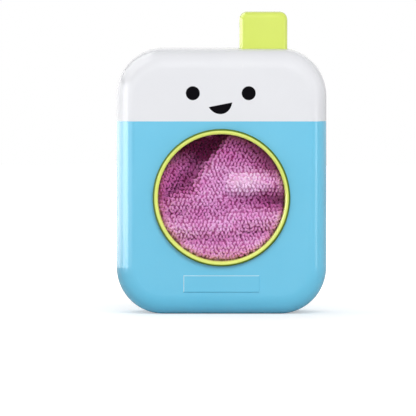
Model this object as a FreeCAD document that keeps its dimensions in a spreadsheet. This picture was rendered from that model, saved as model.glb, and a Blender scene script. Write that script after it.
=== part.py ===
"""Washing machine bath toy.

Pressing the lever on top drives a rack past a pinion.  A large gear beside the pinion turns
the drum behind the round window, and a spring lifts the lever again.

Frame: millimetres, +Z up, the front of the toy faces -Y.  The origin is under the middle of
the body on the face that it stands on, and the two blue shells part at y = 0.
"""

import FreeCAD, Part
import Sketcher
import math
import os

V = FreeCAD.Vector
doc = FreeCAD.newDocument("washing_machine_bath_toy")

# Every size that can be set by itself: its name, its value and what it is.
DRIVING_SIZES = [
    ("body_width", "135", "width of the body"),
    ("body_height", "170", "height of the body without the lever"),
    ("body_depth", "33.5", "depth of the body behind the drum's inner floor"),
    ("corner_radius", "30", "radius of the body's corners in front view"),
    ("edge_radius", "12", "rounding of the front and back edges"),
    ("wall", "2.2", "wall of the shells and the hood"),
    ("split_height", "49", "height of the joint between shells and hood above the drum's axis"),
    ("skirt_height", "3", "reach of the hood's skirt into the shells"),
    ("skirt_wall", "1.6", "thickness of that skirt"),
    ("fit_gap", "0.15", "gap round pieces that are fitted into each other"),
    ("slide_gap", "0.4", "gap round pieces that slide or turn past each other"),
    ("shaft_play", "0.06", "radial play of a shaft in its bearing"),
    ("badge_width", "49", "width of the raised badge plate"),
    ("badge_tall", "11", "height of the raised badge plate"),
    ("badge_height", "19.6", "height of the badge plate's middle"),
    ("badge_proud", "0.8", "how far the badge plate stands out"),
    ("badge_edge", "0.65", "rounding of the badge plate's edge"),
    ("drain_radius", "2", "radius of the drain holes in the base"),
    ("drain_pitch", "20", "spacing of the drain holes"),
    ("drum_height", "75", "height of the drum's axis"),
    ("rim_radius", "44.2", "outer radius of the drum's rim"),
    ("mouth_radius", "40.8", "inner radius of the drum's mouth"),
    ("rim_proud", "4", "how far the rim stands out of the front face"),
    ("rim_gap", "0.5", "gap between the rim and the front face"),
    ("window_gap", "0.6", "gap between the drum and the window's edge"),
    ("collar_length", "6", "length of the collar behind the window"),
    ("drum_wall", "1.8", "wall of the drum's barrel"),
    ("drum_floor", "2", "thickness of the drum's floor"),
    ("drum_depth", "38.5", "depth of the drum behind the front face"),
    ("drum_taper", "0.8", "loss of the barrel's radius towards the floor"),
    ("paddle_height", "6", "height of the paddles in the drum"),
    ("paddle_width", "9", "width of a paddle at its foot"),
    ("paddle_length", "14", "length of a paddle from the floor"),
    ("weep_radius", "2.5", "radius of the holes in the drum's floor"),
    ("weep_circle", "26", "radius of the circle that those holes stand on"),
    ("hub_radius", "6", "radius of the drum's shaft"),
    ("drive_square", "7", "width of the square drive on the shaft's end"),
    ("bush_wall", "2", "wall of the drum bush"),
    ("bush_flange", "1", "thickness of the bush's flange"),
    ("plate_gap", "1.5", "gap between the drum's floor and the gear plate"),
    ("plate_thickness", "3", "thickness of the gear plate"),
    ("plate_side_gap", "5", "gap between the gear plate and the side walls"),
    ("bearing_length", "7.5", "length of the bearing boss behind the gear plate"),
    ("gear_module", "1", "module of the gears"),
    ("pinion_teeth", "16", "teeth of the pinion that the rack drives"),
    ("transfer_teeth", "40", "teeth of the large transfer gear"),
    ("drum_gear_teeth", "20", "teeth of the gear on the drum"),
    ("tooth_slack", "0.12", "play between two teeth in mesh"),
    ("gear_width", "5", "width of the two large gears"),
    ("gear_gap", "0.5", "gap beside the gears"),
    ("transfer_offset", "11.6", "distance of the transfer axle to the left of the lever's middle"),
    ("axle_radius", "2", "radius of the transfer axle"),
    ("cover_thickness", "2.5", "thickness of the gear cover"),
    ("rack_width", "6", "width of the rack across its teeth"),
    ("rack_back", "5.5", "thickness of the rack behind its teeth"),
    ("rack_teeth", "11", "teeth of the rack"),
    ("lever_offset", "40.5", "distance of the lever's middle from the body's right side"),
    ("lever_setback", "0.5", "distance of the lever's middle in front of the gear plate"),
    ("lever_width", "31", "width of the lever"),
    ("lever_depth", "24", "depth of the lever"),
    ("lever_proud", "23.7", "height of the lever above the body"),
    ("lever_wall", "2", "wall of the hollow lever"),
    ("lever_crown", "3.5", "thickness of the lever's top"),
    ("lever_corner", "5", "radius of the lever's top corners in front view"),
    ("lever_edge", "3.4", "rounding of the lever's front and back edges"),
    ("lever_travel", "20", "travel of the lever"),
    ("stop_thickness", "3", "thickness of the stop flange under the lever"),
    ("stop_reach", "3", "reach of the stop flange in front of and behind the lever"),
    ("spring_radius", "5", "outer radius of the return spring"),
    ("spring_wire", "0.6", "diameter of the spring's wire"),
    ("spring_turns", "11", "working turns of the spring"),
    ("shelf_thickness", "3", "thickness of the shelf that the spring stands on"),
    ("boss_radius", "4.5", "radius of the screw bosses"),
    ("post_radius", "5.5", "radius of the rear shell's screw posts"),
    ("screw_radius", "1.25", "radius of a screw's shank"),
    ("screw_hole", "1.7", "radius of a screw's clearance hole"),
    ("head_radius", "2.8", "radius of a screw's head"),
    ("head_height", "2", "height of a screw's head"),
    ("head_recess", "3.6", "radius of the recess above a shell screw"),
    ("screw_seat", "4", "floor under a shell screw's head"),
    ("low_screw_inset", "21", "distance of the lower shell screws from side and base"),
    ("high_screw_inset", "15.5", "distance of the upper shell screws from the sides"),
    ("high_screw_drop", "12", "distance of the upper shell screws below the hood"),
    ("plate_screw_inset", "13.5", "distance of the gear plate's screws from the sides"),
    ("plate_screw_reach", "22", "distance of those screws above and below the drum's axis"),
    ("tab_offset", "26", "distance of the hood's screw tabs from the middle"),
    ("tab_width", "10", "width of a screw tab"),
    ("tab_depth", "5.5", "depth of a screw tab"),
    ("cloth_gap", "1.5", "gap between the washcloth and the drum"),
    ("cloth_setback", "2", "how far the washcloth's front lies behind the front face"),
    ("fold_depth", "10", "depth of the valleys between the washcloth's folds"),
]

sizes = doc.addObject("Spreadsheet::Sheet", "sizes")
for row, (alias, value, meaning) in enumerate(DRIVING_SIZES, start=1):
    sizes.set(f"A{row}", meaning)
    sizes.set(f"B{row}", value)
    sizes.setAlias(f"B{row}", alias)
doc.recompute()

# Places that follow from the sizes, as expressions over the sheet.
HALF_WIDTH = "sizes.body_width / 2"
BODY_DEPTH = "(sizes.drum_depth + sizes.body_depth)"
HALF_DEPTH = f"({BODY_DEPTH} / 2)"
FRONT = f"(-{BODY_DEPTH} / 2)"
SPLIT = "(sizes.drum_height + sizes.split_height)"
BARREL = "(sizes.mouth_radius + sizes.drum_wall)"
WINDOW = f"({BARREL} + sizes.window_gap)"
PLATE_FRONT = f"({FRONT} + sizes.drum_depth + sizes.drum_floor + sizes.plate_gap)"
PLATE_BACK = f"({PLATE_FRONT} + sizes.plate_thickness)"
GEAR_FRONT = f"({PLATE_BACK} + sizes.bearing_length + sizes.gear_gap)"
GEAR_BACK = f"({GEAR_FRONT} + sizes.gear_width)"
COVER_FRONT = f"({GEAR_BACK} + 2 * sizes.gear_gap)"
COVER_BACK = f"({COVER_FRONT} + sizes.cover_thickness)"
CENTRES = "(sizes.gear_module * (sizes.transfer_teeth + sizes.drum_gear_teeth) / 2)"
LEVER_X = f"({HALF_WIDTH} - sizes.lever_offset)"
LEVER_Y = f"({PLATE_FRONT} - sizes.lever_setback)"
TRANSFER_X = f"({LEVER_X} - sizes.transfer_offset)"
TRANSFER_Z = f"(sizes.drum_height + sqrt({CENTRES}^2 - {TRANSFER_X}^2))"
RACK_LINE = f"({TRANSFER_X} + sizes.gear_module * sizes.pinion_teeth / 2)"
RACK_ROOT = f"({RACK_LINE} + 1.25 * sizes.gear_module)"
RACK_REAR_X = f"({RACK_ROOT} + sizes.rack_back)"
RACK_FRONT = f"({PLATE_BACK} + sizes.slide_gap)"
RACK_BACK = f"({RACK_FRONT} + sizes.rack_width)"
STOP_TOP = "(sizes.body_height - sizes.wall - 0.3)"
STOP_BOTTOM = f"({STOP_TOP} - sizes.stop_thickness)"
SHELF_TOP = f"(sizes.drum_height + {BARREL} + sizes.slide_gap)"
SPRING_Y = f"({PLATE_FRONT} - sizes.spring_radius - 1)"
PLATE_TOP = f"max({TRANSFER_Z} + 32; {SHELF_TOP} + 13)"
COVER_LOW = f"min({TRANSFER_Z} - 15; sizes.drum_height + 9)"
COVER_TOP = f"({TRANSFER_Z} + 32)"

SHELL_SCREWS = [
    (f"{side}({HALF_WIDTH} - sizes.{inset})", height)
    for inset, height in (
        ("low_screw_inset", "sizes.low_screw_inset"),
        ("high_screw_inset", f"({SPLIT} - sizes.high_screw_drop)"),
    )
    for side in ("", "-")
]
PLATE_SCREWS = [
    (f"{side}({HALF_WIDTH} - sizes.plate_screw_inset)", f"(sizes.drum_height {way} sizes.plate_screw_reach)")
    for way in ("+", "-")
    for side in ("", "-")
]
COVER_SCREWS = [
    (f"({TRANSFER_X} + 23)", f"({TRANSFER_Z} - 11)"),
    (f"({TRANSFER_X} + 23)", f"({TRANSFER_Z} + 27)"),
    (f"({TRANSFER_X} - 24)", f"({TRANSFER_Z} + 22)"),
]
HOOD_SCREWS = [
    (f"{side}sizes.tab_offset", f"({SPLIT} - 7)")
    for side in ("", "-")
]
LEVER_SCREWS = [
    (f"({LEVER_X} {way} 7.5)", f"({LEVER_Y} - 1.3)")
    for way in ("+", "-")
]


def number(expression):
    """Value of an expression over the sheet."""
    return float(sizes.evalExpression(expression))


def checked(feature):
    """Recompute and return the feature, or stop the build if it failed."""
    doc.recompute()
    if "Invalid" in feature.State or "Error" in feature.State:
        raise RuntimeError(f"{feature.Label}: {feature.State}")
    return feature


def new_body(label):
    """An empty body named after its node."""
    body = doc.addObject("PartDesign::Body", label)
    body.Label = label
    return body


def new_sketch(body, name, role, level="0"):
    """A sketch on one of the body's origin planes, at a level along that plane's axis.

    The normal of the XZ plane points to the front, so its levels change sign.
    """
    plane = [feature for feature in body.Origin.OriginFeatures if feature.Role == role][0]
    sketch = body.newObject("Sketcher::SketchObject", name)
    sketch.AttachmentSupport = [(plane, "")]
    sketch.MapMode = "FlatFace"
    sign = "-" if role == "XZ_Plane" else ""
    sketch.setExpression("AttachmentOffset.Base.z", f"{sign}({level})")
    return sketch


def bind(sketch, kind, places, expression):
    """Add a dimension to a sketch and bind it to an expression."""
    index = sketch.addConstraint(Sketcher.Constraint(kind, *places, number(expression)))
    name = f"{kind}_{index}"
    sketch.renameConstraint(index, name)
    sketch.setExpression(f"Constraints.{name}", expression)


def bind_point(sketch, geometry, point, across, up):
    """Dimension one point of a sketch from the sketch's origin."""
    bind(sketch, "DistanceX", (-1, 1, geometry, point), across)
    bind(sketch, "DistanceY", (-1, 1, geometry, point), up)


def polygon(sketch, corners):
    """A closed run of lines through corners given as pairs of expressions."""
    points = [V(number(across), number(up), 0) for across, up in corners]
    lines = [
        sketch.addGeometry(Part.LineSegment(start, end))
        for start, end in zip(points, points[1:] + points[:1])
    ]
    for line, after in zip(lines, lines[1:] + lines[:1]):
        sketch.addConstraint(Sketcher.Constraint("Coincident", line, 2, after, 1))
    for line, (across, up) in zip(lines, corners):
        bind_point(sketch, line, 1, across, up)


def rectangle(sketch, left, right, low, high):
    """A rectangle between four expressions."""
    polygon(sketch, [(left, low), (right, low), (right, high), (left, high)])


def circles(sketch, places, radius):
    """Circles of one radius at places given as pairs of expressions."""
    for across, up in places:
        centre = V(number(across), number(up), 0)
        circle = sketch.addGeometry(Part.Circle(centre, V(0, 0, 1), number(radius)))
        bind_point(sketch, circle, 3, across, up)
        bind(sketch, "Radius", (circle,), radius)


def rounded_rectangle(sketch, across, up, width, height, radius):
    """A rectangle round a middle, with four tangent corner arcs."""
    x, y, w, h, r = (number(size) for size in (across, up, width, height, radius))
    right, top = x + w / 2, y + h / 2
    left, low = x - w / 2, y - h / 2
    ends = [
        (V(left + r, low, 0), V(right - r, low, 0)),
        (V(right, low + r, 0), V(right, top - r, 0)),
        (V(right - r, top, 0), V(left + r, top, 0)),
        (V(left, top - r, 0), V(left, low + r, 0)),
    ]
    middles = [V(right - r, low + r, 0), V(right - r, top - r, 0), V(left + r, top - r, 0), V(left + r, low + r, 0)]
    lines = [sketch.addGeometry(Part.LineSegment(*pair)) for pair in ends]
    arcs = []
    for quarter, middle in enumerate(middles):
        start = (quarter - 1) * math.pi / 2
        arc = Part.ArcOfCircle(Part.Circle(middle, V(0, 0, 1), r), start, start + math.pi / 2)
        arcs.append(sketch.addGeometry(arc))
    for turn, (line, arc) in enumerate(zip(lines, arcs)):
        sketch.addConstraint(Sketcher.Constraint("Tangent", line, 2, arc, 1))
        sketch.addConstraint(Sketcher.Constraint("Tangent", arc, 2, lines[(turn + 1) % 4], 1))
        sketch.addConstraint(Sketcher.Constraint("Vertical" if turn % 2 else "Horizontal", line))
    for arc in arcs[1:]:
        sketch.addConstraint(Sketcher.Constraint("Equal", arcs[0], arc))
    bind(sketch, "Radius", (arcs[0],), radius)
    bind(sketch, "DistanceY", (-1, 1, lines[0], 1), f"{up} - ({height}) / 2")
    bind(sketch, "DistanceX", (-1, 1, lines[1], 1), f"{across} + ({width}) / 2")
    bind(sketch, "DistanceY", (-1, 1, lines[2], 1), f"{up} + ({height}) / 2")
    bind(sketch, "DistanceX", (-1, 1, lines[3], 1), f"{across} - ({width}) / 2")


def tip_volume(body):
    """Volume of the body so far."""
    return body.Tip.Shape.Volume if body.Tip else 0.0


def pad(body, name, sketch, length, backwards=False, both_ways=False):
    """Pad a sketch along its normal, against it, or half each way."""
    before = tip_volume(body)
    feature = body.newObject("PartDesign::Pad", name)
    feature.Profile = sketch
    feature.Reversed = backwards
    if both_ways:
        feature.SideType = "Symmetric"
    feature.setExpression("Length", length)
    checked(feature)
    if feature.Shape.Volume <= before:
        raise RuntimeError(f"{name} added nothing")
    return feature


def pocket(body, name, sketch, length, along=False):
    """Cut a sketch into the body against its normal, or along it."""
    before = tip_volume(body)
    feature = body.newObject("PartDesign::Pocket", name)
    feature.Profile = sketch
    feature.Reversed = along
    feature.setExpression("Length", length)
    checked(feature)
    if feature.Shape.Volume >= before:
        raise RuntimeError(f"{name} cut nothing")
    return feature


def spread(item, axis):
    """Least and greatest coordinate of an edge or face along an axis."""
    box = item.BoundBox
    return {
        "x": (box.XMin, box.XMax),
        "y": (box.YMin, box.YMax),
        "z": (box.ZMin, box.ZMax),
    }[axis]


def lies_at(item, axis, expression):
    """True for an edge or face that lies flat at one level of an axis."""
    least, greatest = spread(item, axis)
    level = number(expression)
    return abs(least - level) < 0.001 and abs(greatest - level) < 0.001


def runs_along(edge, axis):
    """True for a straight edge along one axis."""
    others = [other for other in "xyz" if other != axis]
    return all(spread(edge, other)[1] - spread(edge, other)[0] < 0.001 for other in others)


def fillet(body, name, radius, wanted):
    """Round the edges of the body that a test picks."""
    base = body.Tip
    names = [f"Edge{place}" for place, edge in enumerate(base.Shape.Edges, start=1) if wanted(edge)]
    feature = body.newObject("PartDesign::Fillet", name)
    feature.Base = (base, names)
    feature.setExpression("Radius", radius)
    return checked(feature)


def chamfer(body, name, size, wanted):
    """Bevel the edges of the body that a test picks."""
    base = body.Tip
    names = [f"Edge{place}" for place, edge in enumerate(base.Shape.Edges, start=1) if wanted(edge)]
    feature = body.newObject("PartDesign::Chamfer", name)
    feature.Base = (base, names)
    feature.setExpression("Size", size)
    return checked(feature)


def hollow(body, name, thickness, wanted):
    """Hollow the body to a wall, open at the faces that a test picks."""
    base = body.Tip
    names = [f"Face{place}" for place, face in enumerate(base.Shape.Faces, start=1) if wanted(face)]
    feature = body.newObject("PartDesign::Thickness", name)
    feature.Base = (base, names)
    feature.Reversed = True
    feature.setExpression("Value", thickness)
    return checked(feature)


def revolve(body, name, sketch):
    """Turn a sketch a full turn about its vertical axis."""
    feature = body.newObject("PartDesign::Revolution", name)
    feature.Profile = sketch
    feature.ReferenceAxis = (sketch, ["V_Axis"])
    feature.Angle = 360
    return checked(feature)


def polar(body, name, features, sketch, count):
    """Repeat features round the normal through a sketch's origin."""
    pattern = body.newObject("PartDesign::PolarPattern", name)
    pattern.Originals = features
    pattern.Axis = (sketch, ["N_Axis"])
    pattern.Angle = 360
    pattern.Occurrences = count
    body.Tip = pattern
    return checked(pattern)


def place(item, across="0", back="0", up="0"):
    """Bind a piece's position to expressions."""
    item.setExpression("Placement.Base.x", across)
    item.setExpression("Placement.Base.y", back)
    item.setExpression("Placement.Base.z", up)


def shell_blank(label, backwards):
    """Half of the blue body below the hood: a rounded block, hollow and open at its joints."""
    body = new_body(label)
    outer = HALF_DEPTH if backwards else FRONT
    outline = new_sketch(body, f"{label}_outline", "XZ_Plane")
    rectangle(outline, f"-{HALF_WIDTH}", HALF_WIDTH, "0", SPLIT)
    pad(body, f"{label}_block", outline, HALF_DEPTH, backwards=backwards)
    fillet(
        body, f"{label}_corners", "sizes.corner_radius",
        lambda edge: runs_along(edge, "y") and lies_at(edge, "z", "0"),
    )
    fillet(
        body, f"{label}_edges", "sizes.edge_radius",
        lambda edge: lies_at(edge, "y", outer) and not lies_at(edge, "z", SPLIT),
    )
    hollow(
        body, f"{label}_wall", "sizes.wall",
        lambda face: lies_at(face, "y", "0") or lies_at(face, "z", SPLIT),
    )
    return body


def drain_holes(body, name, back):
    """A row of drain holes through the base."""
    sketch = new_sketch(body, f"{name}_sketch", "XY_Plane")
    circles(sketch, [(f"{step} * sizes.drain_pitch", back) for step in (-1, 0, 1)], "sizes.drain_radius")
    pocket(body, name, sketch, "sizes.wall + 1", along=True)


def front_shell():
    """Blue front half with the window, its collar, the badge plate and the screw bosses."""
    body = shell_blank("front_shell", backwards=False)
    middle = [("0", "sizes.drum_height")]

    collar = new_sketch(body, "window_collar_sketch", "XZ_Plane", f"{FRONT} + sizes.wall / 2")
    circles(collar, middle, f"{WINDOW} + sizes.wall * 0.6")
    pad(body, "window_collar", collar, "sizes.wall / 2 + sizes.collar_length", backwards=True)
    window = new_sketch(body, "window_sketch", "XZ_Plane", f"{FRONT} - 1")
    circles(window, middle, WINDOW)
    pocket(body, "window", window, "sizes.wall + sizes.collar_length + 2")

    badge = new_sketch(body, "badge_sketch", "XZ_Plane", f"{FRONT} + sizes.wall / 2")
    rectangle(
        badge, "-sizes.badge_width / 2", "sizes.badge_width / 2",
        "sizes.badge_height - sizes.badge_tall / 2", "sizes.badge_height + sizes.badge_tall / 2",
    )
    pad(body, "badge", badge, "sizes.wall / 2 + sizes.badge_proud")
    fillet(
        body, "badge_edges", "sizes.badge_edge",
        lambda edge: lies_at(edge, "y", f"{FRONT} - sizes.badge_proud"),
    )

    bosses = new_sketch(body, "shell_bosses_sketch", "XZ_Plane")
    circles(bosses, SHELL_SCREWS, "sizes.boss_radius")
    pad(body, "shell_bosses", bosses, f"{HALF_DEPTH} - sizes.wall / 2")
    pilots = new_sketch(body, "shell_pilots_sketch", "XZ_Plane")
    circles(pilots, SHELL_SCREWS, "sizes.screw_radius")
    pocket(body, "shell_pilots", pilots, "18", along=True)

    stands = new_sketch(body, "plate_stands_sketch", "XZ_Plane", PLATE_FRONT)
    circles(stands, PLATE_SCREWS, "sizes.boss_radius")
    pad(body, "plate_stands", stands, f"{PLATE_FRONT} + {HALF_DEPTH} - sizes.wall / 2")
    taps = new_sketch(body, "plate_taps_sketch", "XZ_Plane", PLATE_FRONT)
    circles(taps, PLATE_SCREWS, "sizes.screw_radius")
    pocket(body, "plate_taps", taps, "12", along=True)

    drain_holes(body, "front_drains", f"{FRONT} / 3")
    return body


def rear_shell():
    """Blue rear half with the deep screw posts and the holes for the hood screws."""
    body = shell_blank("rear_shell", backwards=True)

    posts = new_sketch(body, "posts_sketch", "XZ_Plane")
    circles(posts, SHELL_SCREWS, "sizes.post_radius")
    pad(body, "posts", posts, f"{HALF_DEPTH} - sizes.wall / 2", backwards=True)
    recesses = new_sketch(body, "recesses_sketch", "XZ_Plane", f"{HALF_DEPTH} + 1")
    circles(recesses, SHELL_SCREWS, "sizes.head_recess")
    pocket(body, "recesses", recesses, f"{HALF_DEPTH} + 1 - sizes.screw_seat", along=True)
    holes = new_sketch(body, "post_holes_sketch", "XZ_Plane", "-1")
    circles(holes, SHELL_SCREWS, "sizes.screw_hole")
    pocket(body, "post_holes", holes, "sizes.screw_seat + 2")

    tab_holes = new_sketch(body, "tab_holes_sketch", "XZ_Plane", f"{HALF_DEPTH} - sizes.wall - 1")
    circles(tab_holes, HOOD_SCREWS, "sizes.screw_hole")
    pocket(body, "tab_holes", tab_holes, "sizes.wall + 2")
    chamfer(
        body, "tab_sinks", "sizes.head_radius - sizes.screw_hole",
        lambda edge: lies_at(edge, "y", HALF_DEPTH) and edge.BoundBox.XLength < 2.1 * number("sizes.screw_hole"),
    )

    drain_holes(body, "rear_drains", f"{HALF_DEPTH} / 3")
    return body


def top_hood():
    """White hood in one piece, with the lever slot, a skirt inside the shells and screw tabs."""
    body = new_body("top_hood")
    outline = new_sketch(body, "hood_outline", "XZ_Plane")
    rectangle(outline, f"-{HALF_WIDTH}", HALF_WIDTH, SPLIT, "sizes.body_height")
    pad(body, "hood_block", outline, BODY_DEPTH, both_ways=True)
    fillet(
        body, "hood_corners", "sizes.corner_radius",
        lambda edge: runs_along(edge, "y") and lies_at(edge, "z", "sizes.body_height"),
    )
    fillet(
        body, "hood_edges", "sizes.edge_radius",
        lambda edge: (lies_at(edge, "y", FRONT) or lies_at(edge, "y", HALF_DEPTH))
        and not lies_at(edge, "z", SPLIT),
    )
    hollow(body, "hood_wall", "sizes.wall", lambda face: lies_at(face, "z", SPLIT))

    inset = "(sizes.wall + sizes.fit_gap)"
    inner = f"({inset} + sizes.skirt_wall)"
    ledge = new_sketch(body, "ledge_sketch", "XY_Plane", SPLIT)
    for edge in ("(sizes.wall / 2)", inner):
        rounded_rectangle(
            ledge, "0", "0", f"(sizes.body_width - 2 * {edge})", f"({BODY_DEPTH} - 2 * {edge})",
            f"(sizes.edge_radius - {edge})",
        )
    pad(body, "ledge", ledge, "2")
    skirt = new_sketch(body, "skirt_sketch", "XY_Plane", SPLIT)
    for edge in (inset, inner):
        rounded_rectangle(
            skirt, "0", "0", f"(sizes.body_width - 2 * {edge})", f"({BODY_DEPTH} - 2 * {edge})",
            f"(sizes.edge_radius - {edge})",
        )
    pad(body, "skirt", skirt, "sizes.skirt_height", backwards=True)

    behind = f"{HALF_DEPTH} - {inset}"
    tabs = new_sketch(body, "tabs_sketch", "XZ_Plane", behind)
    for across, _ in HOOD_SCREWS:
        rectangle(
            tabs, f"{across} - sizes.tab_width / 2", f"{across} + sizes.tab_width / 2",
            f"{SPLIT} - 12", f"{SPLIT} + 1",
        )
    pad(body, "tabs", tabs, "sizes.tab_depth")
    pilots = new_sketch(body, "tab_pilots_sketch", "XZ_Plane", behind)
    circles(pilots, HOOD_SCREWS, "sizes.screw_radius")
    pocket(body, "tab_pilots", pilots, "sizes.tab_depth + 1", along=True)

    slot = new_sketch(body, "slot_sketch", "XY_Plane", "sizes.body_height + 1")
    rounded_rectangle(
        slot, LEVER_X, LEVER_Y, "(sizes.lever_width + 2 * sizes.slide_gap)",
        "(sizes.lever_depth + 2 * sizes.slide_gap)", "(sizes.lever_edge + sizes.slide_gap)",
    )
    pocket(body, "slot", slot, "sizes.wall + 3")
    return body


def gear_plate():
    """Inner plate: drum bearing, rack guide, spring shelf and the posts of the gear cover."""
    body = new_body("gear_plate")
    side = f"({HALF_WIDTH} - sizes.wall - sizes.plate_side_gap)"
    panel = new_sketch(body, "panel_sketch", "XZ_Plane", PLATE_FRONT)
    rectangle(panel, f"-{side}", side, "sizes.drum_height - 31", "sizes.drum_height + 29")
    pad(body, "panel", panel, "sizes.plate_thickness", backwards=True)
    fillet(body, "panel_corners", "6", lambda edge: runs_along(edge, "y"))
    tongue = new_sketch(body, "tongue_sketch", "XZ_Plane", PLATE_FRONT)
    rectangle(
        tongue, f"{TRANSFER_X} - 29", f"{TRANSFER_X} + 27.5", "sizes.drum_height", PLATE_TOP,
    )
    pad(body, "tongue", tongue, "sizes.plate_thickness", backwards=True)
    fillet(
        body, "tongue_corners", "4",
        lambda edge: runs_along(edge, "y") and lies_at(edge, "z", PLATE_TOP),
    )

    middle = [("0", "sizes.drum_height")]
    boss = new_sketch(body, "bearing_boss_sketch", "XZ_Plane", PLATE_BACK)
    circles(boss, middle, "sizes.hub_radius + sizes.bush_wall + 3")
    pad(body, "bearing_boss", boss, "sizes.bearing_length - sizes.gear_gap", backwards=True)
    bearing = new_sketch(body, "bearing_sketch", "XZ_Plane", f"{PLATE_FRONT} - 1")
    circles(bearing, middle, "sizes.hub_radius + sizes.bush_wall")
    pocket(body, "bearing", bearing, "sizes.plate_thickness + sizes.bearing_length + 2")

    guide = new_sketch(body, "rack_guide_sketch", "XZ_Plane", PLATE_BACK)
    rectangle(
        guide, f"{RACK_REAR_X} + sizes.slide_gap", f"{RACK_REAR_X} + sizes.slide_gap + 2.5",
        f"{TRANSFER_Z} - 18", f"{TRANSFER_Z} + 20",
    )
    pad(body, "rack_guide", guide, "sizes.bearing_length - sizes.gear_gap", backwards=True)

    posts = new_sketch(body, "cover_posts_sketch", "XZ_Plane", PLATE_BACK)
    circles(posts, COVER_SCREWS, "3.5")
    pad(body, "cover_posts", posts, f"{COVER_FRONT} - {PLATE_BACK}", backwards=True)
    pilots = new_sketch(body, "cover_pilots_sketch", "XZ_Plane", COVER_FRONT)
    circles(pilots, COVER_SCREWS, "sizes.screw_radius")
    pocket(body, "cover_pilots", pilots, "8", along=True)

    shelf = new_sketch(body, "shelf_sketch", "XY_Plane", f"{SHELF_TOP} - sizes.shelf_thickness")
    rectangle(
        shelf, f"{LEVER_X} - sizes.spring_radius - 2", f"{LEVER_X} + sizes.spring_radius + 2",
        f"{SPRING_Y} - sizes.spring_radius - 1", f"{PLATE_FRONT} + sizes.plate_thickness / 2",
    )
    pad(body, "shelf", shelf, "sizes.shelf_thickness")
    post = new_sketch(body, "spring_post_sketch", "XY_Plane", SHELF_TOP)
    circles(post, [(LEVER_X, SPRING_Y)], "sizes.spring_radius - sizes.spring_wire - 0.6")
    pad(body, "spring_post", post, "10")

    axle = new_sketch(body, "axle_hole_sketch", "XZ_Plane", f"{PLATE_FRONT} - 1")
    circles(axle, [(TRANSFER_X, TRANSFER_Z)], "sizes.axle_radius")
    pocket(body, "axle_hole", axle, "sizes.plate_thickness + 2")
    holes = new_sketch(body, "plate_holes_sketch", "XZ_Plane", f"{PLATE_FRONT} - 1")
    circles(holes, PLATE_SCREWS, "sizes.screw_hole")
    pocket(body, "plate_holes", holes, "sizes.plate_thickness + 2")
    return body


def gear_cover():
    """Plate behind the gears that carries the axle's end and keeps the rack from tipping back.

    A notch in it leaves room round the screw of the drum gear.
    """
    body = new_body("gear_cover")
    sheet = new_sketch(body, "cover_sketch", "XZ_Plane", COVER_FRONT)
    rectangle(sheet, f"{TRANSFER_X} - 29", f"{TRANSFER_X} + 27.5", COVER_LOW, COVER_TOP)
    pad(body, "cover_sheet", sheet, "sizes.cover_thickness", backwards=True)
    fillet(body, "cover_corners", "4", lambda edge: runs_along(edge, "y"))
    notch = new_sketch(body, "cover_notch_sketch", "XZ_Plane", f"{COVER_FRONT} - 1")
    circles(notch, [("0", "sizes.drum_height")], "sizes.gear_module * (sizes.drum_gear_teeth / 2 + 1)")
    pocket(body, "cover_notch", notch, "sizes.cover_thickness + 2")
    keeper = new_sketch(body, "keeper_sketch", "XZ_Plane", COVER_FRONT)
    rectangle(
        keeper, f"{RACK_LINE} - 1.5", f"{RACK_LINE} + 7", f"{TRANSFER_Z} + 22.5", f"{TRANSFER_Z} + 28",
    )
    pad(body, "keeper", keeper, f"{COVER_FRONT} - {RACK_BACK} - sizes.slide_gap")
    axle = new_sketch(body, "cover_axle_sketch", "XZ_Plane", f"{COVER_FRONT} - 1")
    circles(axle, [(TRANSFER_X, TRANSFER_Z)], "sizes.axle_radius")
    pocket(body, "cover_axle", axle, "sizes.cover_thickness + 2")
    holes = new_sketch(body, "cover_holes_sketch", "XZ_Plane", f"{COVER_FRONT} - 1")
    circles(holes, COVER_SCREWS, "sizes.screw_hole")
    pocket(body, "cover_holes", holes, "sizes.cover_thickness + 2")
    return body


def drum_bush():
    """Flanged bush that the drum's shaft turns in."""
    body = new_body("drum_bush")
    middle = [("0", "0")]
    flange = new_sketch(body, "bush_flange_sketch", "XZ_Plane")
    circles(flange, middle, "sizes.hub_radius + sizes.bush_wall + 1.5")
    pad(body, "bush_flange", flange, "sizes.bush_flange")
    sleeve = new_sketch(body, "bush_sleeve_sketch", "XZ_Plane")
    circles(sleeve, middle, "sizes.hub_radius + sizes.bush_wall")
    pad(body, "bush_sleeve", sleeve, "sizes.plate_thickness + sizes.bearing_length - sizes.gear_gap", backwards=True)
    bore = new_sketch(body, "bush_bore_sketch", "XZ_Plane", "-sizes.bush_flange - 1")
    circles(bore, middle, "sizes.hub_radius + sizes.shaft_play")
    pocket(body, "bush_bore", bore, "sizes.plate_thickness + sizes.bearing_length + sizes.bush_flange + 2")
    place(body, "0", PLATE_FRONT, "sizes.drum_height")
    return body


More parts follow.
